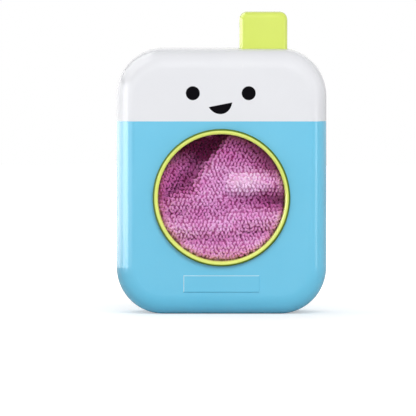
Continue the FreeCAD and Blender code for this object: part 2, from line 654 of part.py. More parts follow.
def drum():
    """Lime drum: rim, barrel, floor with holes, three paddles, shaft and square drive."""
    body = new_body("drum")
    floor_in = "sizes.drum_depth"
    floor_out = "(sizes.drum_depth + sizes.drum_floor)"
    shaft_end = f"({GEAR_FRONT} - {FRONT})"
    profile = new_sketch(body, "drum_profile", "XY_Plane")
    polygon(profile, [
        ("0", floor_in),
        ("sizes.mouth_radius - sizes.drum_taper", floor_in),
        ("sizes.mouth_radius", "-sizes.rim_gap"),
        ("sizes.mouth_radius", "-sizes.rim_proud"),
        ("sizes.rim_radius", "-sizes.rim_proud"),
        ("sizes.rim_radius", "-sizes.rim_gap"),
        (BARREL, "-sizes.rim_gap"),
        (f"{BARREL} - sizes.drum_taper", floor_out),
        ("sizes.hub_radius", floor_out),
        ("sizes.hub_radius", shaft_end),
        ("0", shaft_end),
    ])
    revolve(body, "drum_turned", profile)
    fillet(
        body, "rim_rounding", "(sizes.rim_radius - sizes.mouth_radius) * 0.48",
        lambda edge: lies_at(edge, "y", "-sizes.rim_proud"),
    )

    paddle = new_sketch(body, "paddle_sketch", "XZ_Plane", floor_in)
    foot = "(sizes.mouth_radius + sizes.drum_wall / 2 - sizes.drum_taper)"
    crest = "(sizes.mouth_radius - sizes.drum_taper - sizes.paddle_height)"
    polygon(paddle, [
        ("-sizes.paddle_width / 2", foot),
        ("-sizes.paddle_width / 5", crest),
        ("sizes.paddle_width / 5", crest),
        ("sizes.paddle_width / 2", foot),
    ])
    ridge = pad(body, "paddle", paddle, "sizes.paddle_length")
    polar(body, "paddles", [ridge], paddle, 3)

    weep = new_sketch(body, "weep_sketch", "XZ_Plane", f"{floor_in} - 1")
    circles(weep, [("0", "sizes.weep_circle")], "sizes.weep_radius")
    hole = pocket(body, "weep", weep, "sizes.drum_floor + 2")
    polar(body, "weeps", [hole], weep, 12)

    drive = new_sketch(body, "drive_sketch", "XZ_Plane", shaft_end)
    half = "sizes.drive_square / 2"
    rectangle(drive, f"-{half}", half, f"-{half}", half)
    pad(body, "drive", drive, "sizes.gear_width", backwards=True)
    pilot = new_sketch(body, "drum_pilot_sketch", "XZ_Plane", f"{shaft_end} + sizes.gear_width")
    circles(pilot, [("0", "0")], "sizes.screw_radius")
    pocket(body, "drum_pilot", pilot, "12", along=True)
    place(body, "0", FRONT, "sizes.drum_height")
    return body


def gear_outline(teeth, turn):
    """Face of a spur gear in the XZ plane, with a tooth's middle at an angle from X in degrees.

    Each flank is a spline through points of the involute.  Teeth are thinned by half the play.
    """
    module = number("sizes.gear_module")
    pressure = math.radians(20)
    pitch = module * teeth / 2
    base = pitch * math.cos(pressure)
    tip = pitch + module
    root = pitch - 1.25 * module
    thickness = math.pi * module / 2 - number("sizes.tooth_slack") / 2
    start = max(base, root + 0.01)

    def involute(angle):
        return math.tan(angle) - angle

    def half_angle(radius):
        return thickness / (2 * pitch) + involute(pressure) - involute(math.acos(min(1.0, base / radius)))

    def at(radius, angle):
        return V(radius * math.cos(angle), 0, radius * math.sin(angle))

    radii = [start + (tip - start) * (step / 5) ** 2 for step in range(6)]
    edges = []
    for tooth in range(teeth):
        middle = math.radians(turn) + 2 * math.pi * tooth / teeth
        after = middle + 2 * math.pi / teeth
        rising = [at(radius, middle - half_angle(radius)) for radius in radii]
        falling = [at(radius, middle + half_angle(radius)) for radius in reversed(radii)]
        foot = half_angle(start)
        edges.append(Part.LineSegment(at(root, middle - foot), rising[0]).toShape())
        for flank in (rising, falling):
            curve = Part.BSplineCurve()
            curve.interpolate(flank)
            edges.append(curve.toShape())
            if flank is rising:
                edges.append(Part.Arc(rising[-1], at(tip, middle), falling[0]).toShape())
        edges.append(Part.LineSegment(falling[-1], at(root, middle + foot)).toShape())
        valley = at(root, (middle + after) / 2)
        edges.append(Part.Arc(at(root, middle + foot), valley, at(root, after - foot)).toShape())
    return Part.Face(Part.Wire(edges))


def toothed_wheel(name, teeth, turn, width, forwards=False):
    """A gear of a given width along Y, extruded from its outline."""
    outline = doc.addObject("Part::Feature", f"{name}_outline")
    outline.Shape = gear_outline(int(number(f"sizes.{teeth}")), turn)
    wheel = doc.addObject("Part::Extrusion", name)
    wheel.Base = outline
    wheel.DirMode = "Custom"
    wheel.Dir = V(0, -1 if forwards else 1, 0)
    wheel.Solid = True
    wheel.setExpression("LengthFwd", width)
    return checked(wheel)


# Direction from the drum's axis to the transfer axle, in degrees from X.
MESH_ANGLE = math.degrees(math.atan2(number(f"{TRANSFER_Z} - sizes.drum_height"), number(TRANSFER_X)))


def drum_gear():
    """Gear that sits on the drum's square drive, with a tooth towards the transfer gear."""
    wheel = toothed_wheel("drum_gear_wheel", "drum_gear_teeth", MESH_ANGLE, "sizes.gear_width")
    square = doc.addObject("Part::Box", "drum_gear_square")
    side = "(sizes.drive_square + 2 * sizes.shaft_play)"
    square.setExpression("Length", side)
    square.setExpression("Height", side)
    square.setExpression("Width", "sizes.gear_width + 2")
    place(square, f"-{side} / 2", "-1", f"-{side} / 2")
    gear = doc.addObject("Part::Cut", "drum_gear")
    gear.Base = wheel
    gear.Tool = square
    place(gear, "0", GEAR_FRONT, "sizes.drum_height")
    return checked(gear)


def transfer_gear():
    """Large gear and pinion in one moulding; the pinion turns a tooth towards the rack."""
    teeth = int(number("sizes.transfer_teeth"))
    wheel = toothed_wheel(
        "transfer_wheel", "transfer_teeth", MESH_ANGLE + 180 + 180 / teeth, "sizes.gear_width",
    )
    pinion = toothed_wheel(
        "transfer_pinion", "pinion_teeth", 0, "sizes.bearing_length", forwards=True,
    )
    joined = doc.addObject("Part::Fuse", "transfer_joined")
    joined.Base = wheel
    joined.Tool = pinion
    bore = doc.addObject("Part::Cylinder", "transfer_bore")
    bore.setExpression("Radius", "sizes.axle_radius + sizes.shaft_play")
    bore.setExpression("Height", "sizes.gear_width + sizes.bearing_length + 2")
    bore.Placement.Rotation = FreeCAD.Rotation(V(1, 0, 0), -90)
    place(bore, "0", "-sizes.bearing_length - 1", "0")
    gear = doc.addObject("Part::Cut", "transfer_gear")
    gear.Base = joined
    gear.Tool = bore
    place(gear, TRANSFER_X, GEAR_FRONT, TRANSFER_Z)
    return checked(gear)


def rod(label, radius, length, across, back, up):
    """A plain round rod that lies along Y."""
    piece = doc.addObject("Part::Cylinder", label)
    piece.setExpression("Radius", radius)
    piece.setExpression("Height", length)
    piece.Placement.Rotation = FreeCAD.Rotation(V(1, 0, 0), -90)
    place(piece, across, back, up)
    return checked(piece)


def drum_washer():
    """Washer between the drum gear and its screw."""
    height = "sizes.drum_height"
    disc = rod("washer_disc", "sizes.drive_square * 0.85", "1", "0", GEAR_BACK, height)
    hole = rod("washer_hole", "sizes.screw_hole", "3", "0", f"{GEAR_BACK} - 1", height)
    washer = doc.addObject("Part::Cut", "drum_washer")
    washer.Base = disc
    washer.Tool = hole
    return checked(washer)


def push_lever():
    """Lime lever: a hollow tab with two screw bosses inside, open below."""
    body = new_body("push_lever")
    half = "sizes.lever_width / 2"
    tall = f"(sizes.body_height + sizes.lever_proud - {STOP_TOP})"
    outline = new_sketch(body, "lever_outline", "XZ_Plane")
    rectangle(outline, f"-{half}", half, "0", tall)
    pad(body, "lever_block", outline, "sizes.lever_depth", both_ways=True)
    fillet(
        body, "lever_corners", "sizes.lever_corner",
        lambda edge: runs_along(edge, "y") and lies_at(edge, "z", tall),
    )
    faces = ("-sizes.lever_depth / 2", "sizes.lever_depth / 2")
    fillet(
        body, "lever_edges", "sizes.lever_edge",
        lambda edge: any(lies_at(edge, "y", face) for face in faces) and not lies_at(edge, "z", "0"),
    )
    inside = new_sketch(body, "lever_inside_sketch", "XY_Plane")
    rectangle(
        inside, f"-{half} + sizes.lever_wall", f"{half} - sizes.lever_wall",
        "-sizes.lever_depth / 2 + sizes.lever_wall", "sizes.lever_depth / 2 - sizes.lever_wall",
    )
    pocket(body, "lever_inside", inside, f"{tall} - sizes.lever_crown", along=True)
    places = [(f"{across} - {LEVER_X}", f"{back} - {LEVER_Y}") for across, back in LEVER_SCREWS]
    bosses = new_sketch(body, "lever_bosses_sketch", "XY_Plane")
    circles(bosses, places, "3.2")
    pad(body, "lever_bosses", bosses, f"{tall} - sizes.lever_crown / 2")
    pilots = new_sketch(body, "lever_pilots_sketch", "XY_Plane")
    circles(pilots, places, "sizes.screw_radius")
    pocket(body, "lever_pilots", pilots, "14", along=True)
    place(body, LEVER_X, LEVER_Y, STOP_TOP)
    return body


def rack_slide():
    """Stop flange under the lever with the rack that hangs from it and a spigot for the spring."""
    body = new_body("rack_slide")
    reach = "(sizes.lever_depth / 2 + sizes.stop_reach)"
    flat = "(sizes.lever_width / 2 - sizes.lever_corner)"
    flange = new_sketch(body, "flange_sketch", "XY_Plane", STOP_BOTTOM)
    rectangle(
        flange, f"{LEVER_X} - {flat}", f"{LEVER_X} + {flat}", f"{LEVER_Y} - {reach}", f"{LEVER_Y} + {reach}",
    )
    pad(body, "flange", flange, "sizes.stop_thickness")
    fillet(body, "flange_corners", "2", lambda edge: runs_along(edge, "z"))

    pitch = "(sizes.gear_module * pi)"
    lowest = f"({TRANSFER_Z} - 2 * {pitch})"
    stem = new_sketch(body, "stem_sketch", "XZ_Plane", RACK_FRONT)
    rectangle(stem, RACK_ROOT, RACK_REAR_X, lowest, f"{STOP_BOTTOM} + 1")
    pad(body, "stem", stem, "sizes.rack_width", backwards=True)

    flank = "(sizes.gear_module * tan(20 deg))"
    half = f"({pitch} / 4 - sizes.tooth_slack / 4)"
    centre = f"({TRANSFER_Z} - 1.5 * {pitch})"
    tip = f"({RACK_LINE} - 0.9 * sizes.gear_module)"
    inside = f"({RACK_ROOT} + 0.5)"
    tooth = new_sketch(body, "tooth_sketch", "XZ_Plane", RACK_FRONT)
    polygon(tooth, [
        (tip, f"{centre} - {half} + 0.9 * {flank}"),
        (RACK_ROOT, f"{centre} - {half} - 1.25 * {flank}"),
        (inside, f"{centre} - {half} - 1.25 * {flank}"),
        (inside, f"{centre} + {half} + 1.25 * {flank}"),
        (RACK_ROOT, f"{centre} + {half} + 1.25 * {flank}"),
        (tip, f"{centre} + {half} - 0.9 * {flank}"),
    ])
    first = pad(body, "tooth", tooth, "sizes.rack_width", backwards=True)
    row = body.newObject("PartDesign::LinearPattern", "teeth")
    row.Originals = [first]
    row.Direction = (tooth, ["V_Axis"])
    row.setExpression("Length", f"{pitch} * (sizes.rack_teeth - 1)")
    row.setExpression("Occurrences", "sizes.rack_teeth")
    body.Tip = row
    checked(row)

    spigot = new_sketch(body, "spigot_sketch", "XY_Plane", STOP_BOTTOM)
    circles(spigot, [(LEVER_X, SPRING_Y)], "sizes.spring_radius - sizes.spring_wire - 0.6")
    pad(body, "spigot", spigot, "4", backwards=True)
    holes = new_sketch(body, "flange_holes_sketch", "XY_Plane", f"{STOP_BOTTOM} - 1")
    circles(holes, LEVER_SCREWS, "sizes.screw_hole")
    pocket(body, "flange_holes", holes, "sizes.stop_thickness + 2", along=True)
    return body


def return_spring():
    """Compression spring from the shelf to the stop flange.

    The wire follows arcs of a quarter turn that rise evenly, so it stays free of splines.
    """
    wire = number("sizes.spring_wire")
    radius = number("sizes.spring_radius") - wire / 2
    low = number(SHELF_TOP) + wire / 2
    high = number(STOP_BOTTOM) - wire / 2
    turns = int(number("sizes.spring_turns")) + 2
    quarters = 4 * turns
    closed = 0.06 * (high - low)

    def point(turn):
        share = min(max((turn - 1) / (turns - 2), 0.0), 1.0)
        rise = closed * (min(turn, 1.0) + max(turn - turns + 1, 0.0)) + (high - low - 2 * closed) * share
        angle = 2 * math.pi * turn
        return V(radius * math.cos(angle), radius * math.sin(angle), low + rise)

    edges = []
    for quarter in range(quarters):
        start, middle, end = (point((quarter + part) / 4) for part in (0.0, 0.5, 1.0))
        edges.append(Part.Arc(start, middle, end).toShape())
    path = Part.Wire(edges)
    section = Part.Wire([Part.Circle(point(0), V(0, 1, 0), wire / 2).toShape()])
    spring = doc.addObject("Part::Feature", "return_spring")
    spring.Shape = path.makePipeShell([section], True, False)
    place(spring, LEVER_X, SPRING_Y, "0")
    pitch = (high - low - 2 * closed) / (turns - 2)
    print(f"spring: least gap between turns {min(pitch, closed) - wire:.2f} mm")
    return checked(spring)


def transfer_axle():
    """Steel axle of the transfer gear, held by the gear plate and the gear cover."""
    return rod(
        "transfer_axle", "sizes.axle_radius", f"{COVER_BACK} - {PLATE_FRONT}", TRANSFER_X, PLATE_FRONT, TRANSFER_Z,
    )


PAN_HEAD = [
    ("0", "sizes.head_height"),
    ("sizes.head_radius * 0.7", "sizes.head_height"),
    ("sizes.head_radius", "sizes.head_height * 0.5"),
    ("sizes.head_radius", "0"),
    ("sizes.screw_radius", "0"),
]
SUNK_HEAD = [
    ("0", "0"),
    ("sizes.head_radius", "0"),
    ("sizes.screw_radius", "sizes.screw_radius - sizes.head_radius"),
]


def screws(label, length, places, head=PAN_HEAD, upwards=False):
    """Equal tapping screws with cross recesses: one master body and a link for each place.

    Each place is the point under a pan head or on top of a sunk head.  Heads lie behind the
    shank, or below it for upward screws.
    """
    master = new_body(f"{label}_master")
    profile = new_sketch(master, f"{label}_profile", "XZ_Plane")
    polygon(profile, head + [
        ("sizes.screw_radius", f"-({length}) + 2"),
        ("0", f"-({length})"),
    ])
    revolve(master, f"{label}_turned", profile)
    cross = new_sketch(master, f"{label}_cross_sketch", "XY_Plane", head[0][1])
    arm = "sizes.head_radius * 0.55"
    slim = "sizes.head_radius * 0.15"
    polygon(cross, [
        (f"-{slim}", f"-{arm}"), (slim, f"-{arm}"), (slim, f"-{slim}"), (arm, f"-{slim}"),
        (arm, slim), (slim, slim), (slim, arm), (f"-{slim}", arm),
        (f"-{slim}", slim), (f"-{arm}", slim), (f"-{arm}", f"-{slim}"), (f"-{slim}", f"-{slim}"),
    ])
    pocket(master, f"{label}_cross", cross, "sizes.head_height * 0.6")
    turn = FreeCAD.Rotation(V(1, 0, 0), 180 if upwards else -90)
    links = []
    for count, spot in enumerate(places, start=1):
        link = doc.addObject("App::Link", f"{label}_{count}")
        link.LinkedObject = master
        link.LinkTransform = False
        link.Placement.Rotation = turn
        place(link, *spot)
        links.append(link)
    group = doc.addObject("Part::Compound", label)
    group.Links = links
    return checked(group)


def all_screws():
    """The six groups of screws."""
    return [
        screws("shell_screws", "sizes.screw_seat + 16", [(x, "sizes.screw_seat", z) for x, z in SHELL_SCREWS]),
        screws("plate_screws", "sizes.plate_thickness + 8", [(x, PLATE_BACK, z) for x, z in PLATE_SCREWS]),
        screws("cover_screws", "sizes.cover_thickness + 6", [(x, COVER_BACK, z) for x, z in COVER_SCREWS]),
        screws("hood_screws", "sizes.wall + 6", [(x, HALF_DEPTH, z) for x, z in HOOD_SCREWS], head=SUNK_HEAD),
        screws("drum_screw", "9", [("0", f"{GEAR_BACK} + 1", "sizes.drum_height")]),
        screws(
            "lever_screws", "sizes.stop_thickness + 8", [(x, y, STOP_BOTTOM) for x, y in LEVER_SCREWS],
            upwards=True,
        ),
    ]


def fold_section(along, crests):
    """Closed outline of the bundled cloth across its folds, at a place along them.

    The back is straight and the front is a chain of arcs over crests and valleys, which are
    given as pairs of a place across and a depth behind the front face.
    """
    points = [V(across, depth, along) for across, depth in crests]
    edges = []
    for start, top, end in zip(points[0::2], points[1::2], points[2::2]):
        edges.append(Part.Arc(start, top, end).toShape())
    back = number("sizes.drum_depth") - number("sizes.paddle_length") - 2
    left = V(points[0].x, back, along)
    right = V(points[-1].x, back, along)
    edges.append(Part.LineSegment(points[-1], right).toShape())
    edges.append(Part.LineSegment(right, left).toShape())
    edges.append(Part.LineSegment(left, points[0]).toShape())
    return Part.Wire(edges)


def washcloth():
    """Washcloth stuffed into the drum: three folds that lean to the right, on a plug behind.

    The folds are a loft across the drum's mouth, trimmed to the round of the drum.  The plug
    lies against the drum's floor between the paddles.
    """
    front = number("sizes.cloth_setback")
    mouth = number("sizes.mouth_radius") - number("sizes.drum_taper") - number("sizes.cloth_gap")
    reach = mouth + 4
    ridge = front + 1
    valley = number("sizes.fold_depth")
    rows = [
        (-reach, (5, 9, 3)),
        (-reach / 3, (3, 6, 1)),
        (reach / 3, (4, 1, 4)),
        (reach, (8, 5, 6)),
    ]
    sections = []
    for along, (first, second, third) in rows:
        sections.append(fold_section(along, [
            (-reach, ridge + valley + 1),
            (-reach * 0.62, ridge + first),
            (-reach * 0.30, ridge + valley),
            (reach * 0.02, ridge + second),
            (reach * 0.34, ridge + valley),
            (reach * 0.66, ridge + third),
            (reach, ridge + valley + 1),
        ]))
    folds = Part.makeLoft(sections, True, False)
    folds.rotate(V(0, 0, 0), V(0, 1, 0), 28)
    deep = number("sizes.drum_depth")
    trim = Part.makeCylinder(mouth, deep, V(0, 0, 0), V(0, 1, 0))
    plug_start = deep - number("sizes.paddle_length") - 4
    plug_radius = mouth - number("sizes.paddle_height")
    plug = Part.makeCylinder(plug_radius, deep - plug_start, V(0, plug_start, 0), V(0, 1, 0))
    cloth = doc.addObject("Part::Feature", "washcloth")
    cloth.Shape = folds.common(trim).fuse(plug).removeSplitter()
    place(cloth, "0", FRONT, "sizes.drum_height")
    return checked(cloth)


pieces = [
    front_shell(),
    rear_shell(),
    top_hood(),
    gear_plate(),
    gear_cover(),
    drum_bush(),
    drum(),
    drum_gear(),
    drum_washer(),
    transfer_axle(),
    transfer_gear(),
    push_lever(),
    rack_slide(),
    return_spring(),
    washcloth(),
    *all_screws(),
]
doc.recompute()

for item in doc.Objects:
    if "Invalid" in item.State or "Error" in item.State:
        raise RuntimeError(f"{item.Label} failed: {item.State}")
for piece in pieces:
    if piece.Shape.isNull() or not piece.Shape.isValid():
        raise RuntimeError(f"{piece.Label} has no valid shape")

os.makedirs("parts", exist_ok=True)
for piece in pieces:
    piece.Shape.exportStep(f"parts/{piece.Label}.step")
    box = piece.Shape.optimalBoundingBox()
    print(
        f"{piece.Label:14s} solids {len(piece.Shape.Solids)} volume {piece.Shape.Volume:10.1f}"
        f"  x {box.XMin:7.2f} {box.XMax:7.2f}  y {box.YMin:7.2f} {box.YMax:7.2f}  z {box.ZMin:7.2f} {box.ZMax:7.2f}"
    )
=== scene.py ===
"""Looks of a washing machine bath toy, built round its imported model.

Metres, +Z up, and the front faces -Y.  The sections follow the order in which the toy is put together.
"""

import math

import bmesh
import bpy
import numpy as np
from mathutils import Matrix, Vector


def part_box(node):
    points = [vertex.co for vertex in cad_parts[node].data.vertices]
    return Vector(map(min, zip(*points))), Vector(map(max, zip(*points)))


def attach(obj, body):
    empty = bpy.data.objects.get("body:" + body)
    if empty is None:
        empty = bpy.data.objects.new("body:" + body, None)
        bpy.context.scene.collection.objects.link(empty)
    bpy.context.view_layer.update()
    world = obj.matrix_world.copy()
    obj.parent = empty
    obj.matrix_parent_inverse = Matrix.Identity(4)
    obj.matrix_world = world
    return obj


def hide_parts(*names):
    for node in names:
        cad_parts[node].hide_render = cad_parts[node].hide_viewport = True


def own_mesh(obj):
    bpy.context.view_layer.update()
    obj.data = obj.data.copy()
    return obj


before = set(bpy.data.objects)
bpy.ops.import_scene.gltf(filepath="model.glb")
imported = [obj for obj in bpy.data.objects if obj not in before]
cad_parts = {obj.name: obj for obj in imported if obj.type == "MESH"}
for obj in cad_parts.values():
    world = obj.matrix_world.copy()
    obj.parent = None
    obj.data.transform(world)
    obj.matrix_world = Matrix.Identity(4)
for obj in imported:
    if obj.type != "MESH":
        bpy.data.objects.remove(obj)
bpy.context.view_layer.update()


# Gear plate, gear cover, drum bush, gears and rack: the works inside the body.  They are moulded in
# acetal that is left uncoloured, with the dull skin of the mould.  The plate is screwed into the body
# and carries the rest.

class Finish:
    """A node tree in the making: short ways to add nodes to it and to reach its shader.

    A way that adds one step of a pattern returns its socket, so it goes straight into the next.
    """

    def __init__(self, tree, shader="Principled BSDF"):
        self.tree = tree
        self.shader = tree.nodes.get(shader)

    def put(self, socket, value):
        """Link a socket to another node's output, or set it to a plain value."""
        if isinstance(value, bpy.types.NodeSocket):
            self.tree.links.new(value, socket)
        else:
            socket.default_value = value

    def add(self, kind, inputs=None, **settings):
        """A new node with its settings made and its inputs linked or set."""
        node = self.tree.nodes.new(kind)
        for key, value in settings.items():
            setattr(node, key, value)
        for key, value in (inputs or {}).items():
            self.put(node.inputs[key], value)
        return node

    def feed(self, name, value):
        """Link or set one of the shader's own sockets."""
        self.put(self.shader.inputs[name], value)

    def fed(self, name):
        """The socket that feeds one of the shader's own sockets so far."""
        return self.shader.inputs[name].links[0].from_socket

    def place(self):
        """Object coordinates."""
        return self.add("ShaderNodeTexCoord").outputs["Object"]

    def noise(self, place, scale, detail):
        """Noise from 0 to 1, with about scale grains to the metre."""
        inputs = {"Vector": place, "Scale": scale, "Detail": detail}
        return self.add("ShaderNodeTexNoise", inputs).outputs["Fac"]

    def math(self, operation, *values):
        """One step of arithmetic on numbers."""
        return self.add("ShaderNodeMath", dict(enumerate(values)), operation=operation).outputs["Value"]

    def vector_math(self, operation, *values, result="Vector"):
        """One step of arithmetic on vectors.  A length or a dot product is a Value."""
        node = self.add("ShaderNodeVectorMath", dict(enumerate(values)), operation=operation)
        return node.outputs[result]

    def spread(self, value, source=(0.0, 1.0), target=(0.0, 1.0)):
        """A value carried from one range to another in proportion, and held at the ends."""
        ranges = {"From Min": source[0], "From Max": source[1], "To Min": target[0], "To Max": target[1]}
        return self.add("ShaderNodeMapRange", {"Value": value, **ranges}).outputs["Result"]

    def mix(self, share, first, second, how="MIX"):
        """A colour between two, by a share from 0 to 1.  Each is a socket or red, green and blue.

        The node's sockets for colours go by number, because those for other kinds have the same names.
        """
        share_socket, first_socket, second_socket, result_socket = 0, 6, 7, 2
        node = self.add("ShaderNodeMix", {share_socket: share}, data_type="RGBA", blend_type=how)
        for socket, colour in ((first_socket, first), (second_socket, second)):
            self.put(node.inputs[socket], (*colour, 1.0) if isinstance(colour, tuple) else colour)
        return node.outputs[result_socket]

    def bump(self, height, distance, strength=1.0):
        """Normal of a skin whose height of 0 to 1 stands for a distance in metres."""
        inputs = {"Height": height, "Distance": distance, "Strength": strength}
        return self.add("ShaderNodeBump", inputs).outputs["Normal"]


def new_material(name):
    """A new node material, and the finish to be made in it."""
    material = bpy.data.materials.new(name)
    material.use_nodes = True
    return material, Finish(material.node_tree)


def dress(node, material):
    """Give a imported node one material."""
    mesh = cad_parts[node].data
    mesh.materials.clear()
    mesh.materials.append(material)


def make_moulded_skin():
    """Node group for injection moulded plastic, in object coordinates.

    Colour goes from Dark to Light with a slow cloud.  Roughness goes from Least to Most rough with
    the cloud plus a share of the hair scratches.  Height is a fine orange peel less the scratches,
    which are the highest places of a noise drawn out 25 times along a slanting line.
    """
    group = bpy.data.node_groups.new("moulded_skin", "ShaderNodeTree")
    for way, kind, names in (
        ("INPUT", "NodeSocketColor", ("Dark", "Light")),
        ("INPUT", "NodeSocketFloat", ("Least rough", "Most rough")),
        ("OUTPUT", "NodeSocketColor", ("Colour",)),
        ("OUTPUT", "NodeSocketFloat", ("Roughness", "Height")),
    ):
        for name in names:
            group.interface.new_socket(name, in_out=way, socket_type=kind)
    skin = Finish(group)
    entry = skin.add("NodeGroupInput").outputs
    place = skin.place()
    cloud = skin.noise(place, scale=30.0, detail=3.0)
    peel = skin.noise(place, scale=700.0, detail=2.0)
    slant = {"Vector": place, "Rotation": (0.4, 0.7, 0.5), "Scale": (1.0, 1.0, 0.04)}
    drawn_out = skin.add("ShaderNodeMapping", slant).outputs["Vector"]
    hair = skin.noise(drawn_out, scale=260.0, detail=4.0)
    scratch = skin.spread(hair, source=(0.68, 0.74))
    scratch_dulls, scratch_cuts = 0.35, -0.25
    polish = skin.math("MULTIPLY_ADD", scratch, scratch_dulls, cloud)
    skin.add("NodeGroupOutput", {
        "Colour": skin.mix(cloud, entry["Dark"], entry["Light"]),
        "Roughness": skin.spread(polish, (0.3, 1.0), (entry["Least rough"], entry["Most rough"])),
        "Height": skin.math("MULTIPLY_ADD", scratch, scratch_cuts, peel),
    })
    return group


moulded_skin = make_moulded_skin()


def moulded_plastic(name, dark, light, roughness, peel=0.00002, coat=0.0):
    """Moulded plastic between two close colours and two roughnesses.

    Peel is the height of its orange peel in metres, and coat the weight of its polish.
    """
    material, plastic = new_material(name)
    skin = plastic.add("ShaderNodeGroup", {
        "Dark": (*dark, 1.0), "Light": (*light, 1.0),
        "Least rough": roughness[0], "Most rough": roughness[1],
    }, node_tree=moulded_skin).outputs
    plastic.feed("Base Color", skin["Colour"])
    plastic.feed("Roughness", skin["Roughness"])
    plastic.feed("Normal", plastic.bump(skin["Height"], peel))
    plastic.feed("IOR", 1.5)
    plastic.feed("Coat Weight", coat)
    plastic.feed("Coat Roughness", 0.14)
    return material


natural_plastic = moulded_plastic(
    "natural_plastic", dark=(0.72, 0.71, 0.65), light=(0.84, 0.83, 0.78),
    roughness=(0.42, 0.6), peel=0.00004,
)
for works in ("gear_plate", "gear_cover", "drum_bush", "drum_gear", "transfer_gear", "rack_slide"):
    dress(works, natural_plastic)


# Axle, washer and screws: plain stainless steel with a tumbled finish, fine streaks and small dull
# spots.  The screws cut their own threads in the plastic.

def tumbled_steel():
    """Stainless steel: streaks are a noise drawn out 12 times along the depth, spots a plain noise.

    The colour follows the spots, the roughness the product of streaks and spots, and the skin the
    streaks.
    """
    material, metal = new_material("tumbled_steel")
    place = metal.place()
    lengthwise = {"Vector": place, "Scale": (1.0, 0.08, 1.0)}
    drawn_out = metal.add("ShaderNodeMapping", lengthwise).outputs["Vector"]
    streak = metal.noise(drawn_out, scale=2600.0, detail=3.0)
    spot = metal.noise(place, scale=420.0, detail=4.0)
    metal.feed("Base Color", metal.mix(spot, (0.48, 0.48, 0.47), (0.68, 0.68, 0.67)))
    dull = metal.math("MULTIPLY", streak, spot)
    metal.feed("Roughness", metal.spread(dull, (0.1, 0.45), (0.22, 0.48)))
    metal.feed("Normal", metal.bump(streak, 0.00001))
    metal.feed("Metallic", 1.0)
    return material


steel = tumbled_steel()
for fastener in (
    "transfer_axle", "drum_washer", "drum_screw",
    "shell_screws", "plate_screws", "cover_screws", "hood_screws", "lever_screws",
):
    dress(fastener, steel)


# Return spring: stainless wire wound cold, with a closed turn at each end.  It stands on the gear
# plate's shelf and lifts the rack.  On the toy it shortens towards the shelf as the lever goes
# down; this wire keeps the length of the imported spring and stays with the housing.

def mesh_from_faces(name, points, faces):
    """Smooth object from points (n, 3) and quads (m, 4)."""
    mesh = bpy.data.meshes.new(name)
    mesh.vertices.add(len(points))
    mesh.vertices.foreach_set("co", np.ascontiguousarray(points, dtype=np.float32).ravel())
    mesh.loops.add(faces.size)
    mesh.loops.foreach_set("vertex_index", np.ascontiguousarray(faces, dtype=np.int32).ravel())
    mesh.polygons.add(len(faces))
    mesh.polygons.foreach_set("loop_start", np.arange(0, faces.size, faces.shape[1], dtype=np.int32))
    mesh.polygons.foreach_set("use_smooth", np.ones(len(faces), dtype=bool))
    mesh.update(calc_edges=True)
    mesh.validate()
    piece = bpy.data.objects.new(name, mesh)
    bpy.context.scene.collection.objects.link(piece)
    return piece


def close_poles(piece):
    """Merge the points of each ring that has shrunk to one place."""
    one_place = 1e-8
    shell = bmesh.new()
    shell.from_mesh(piece.data)
    bmesh.ops.remove_doubles(shell, verts=shell.verts, dist=one_place)
    shell.to_mesh(piece.data)
    shell.free()


def mesh_from_grid(name, points, closed_rows=False, closed_columns=False):
    """Object of quads from an array of points (rows, columns, 3), closed round either way."""
    rows, columns = points.shape[:2]
    index = np.arange(rows * columns).reshape(rows, columns)
    if closed_rows:
        index = np.concatenate([index, index[:1]])
    if closed_columns:
        index = np.concatenate([index, index[:, :1]], axis=1)
    corners = [index[:-1, :-1], index[:-1, 1:], index[1:, 1:], index[1:, :-1]]
    return mesh_from_faces(name, points.reshape(-1, 3), np.stack(corners, axis=-1).reshape(-1, 4))


def tube_along(path, radius, sides, closed=False):
    """Grid of a round tube: at each point of the path a circle square to the path's direction.

    The circle's first axis is the direction's cross product with the steadiest world axis.  A tube
    whose path isn't closed starts and ends in a ring of no radius.
    """
    if closed:
        ahead = np.roll(path, -1, 0) - np.roll(path, 1, 0)
    else:
        ahead = np.gradient(path, axis=0)
    ahead /= np.linalg.norm(ahead, axis=1, keepdims=True)
    steady = np.zeros(3)
    steady[np.abs(ahead).mean(axis=0).argmin()] = 1.0
    first = np.cross(ahead, steady)
    first /= np.linalg.norm(first, axis=1, keepdims=True)
    second = np.cross(ahead, first)
    turn = np.linspace(0, 2 * np.pi, sides, endpoint=False)[None, :, None]
    rings = path[:, None] + radius * (np.cos(turn) * first[:, None] + np.sin(turn) * second[:, None])
    if closed:
        return rings
    ends = np.repeat(path[[0, -1], None], sides, axis=1)
    return np.concatenate([ends[:1], rings, ends[1:]])


def ramp(value, start, end):
    """0 at the start, 1 at the end, in proportion between them and held outside."""
    return np.clip((value - start) / (end - start), 0, 1)


def wound_wire(axis, radius, foot, height, turns):
    """Middle line of a spring round an upright axis, from its foot to its height.

    The closed turn at each end rises by a small share of the height, and the turns between them
    share the rest evenly.
    """
    points_per_turn = 28
    closed_rise = 0.03
    angle = np.linspace(0, 2 * np.pi * turns, turns * points_per_turn + 1)
    turn = angle / (2 * np.pi)
    closed_turns = np.minimum(turn, 1) + np.maximum(turn - turns + 1, 0)
    open_share = ramp(turn, 1, turns - 1)
    rise = closed_rise * closed_turns + (1 - 2 * closed_rise) * open_share
    across, deep = radius * np.cos(angle), radius * np.sin(angle)
    return np.stack([axis[0] + across, axis[1] + deep, foot + height * rise], axis=1)


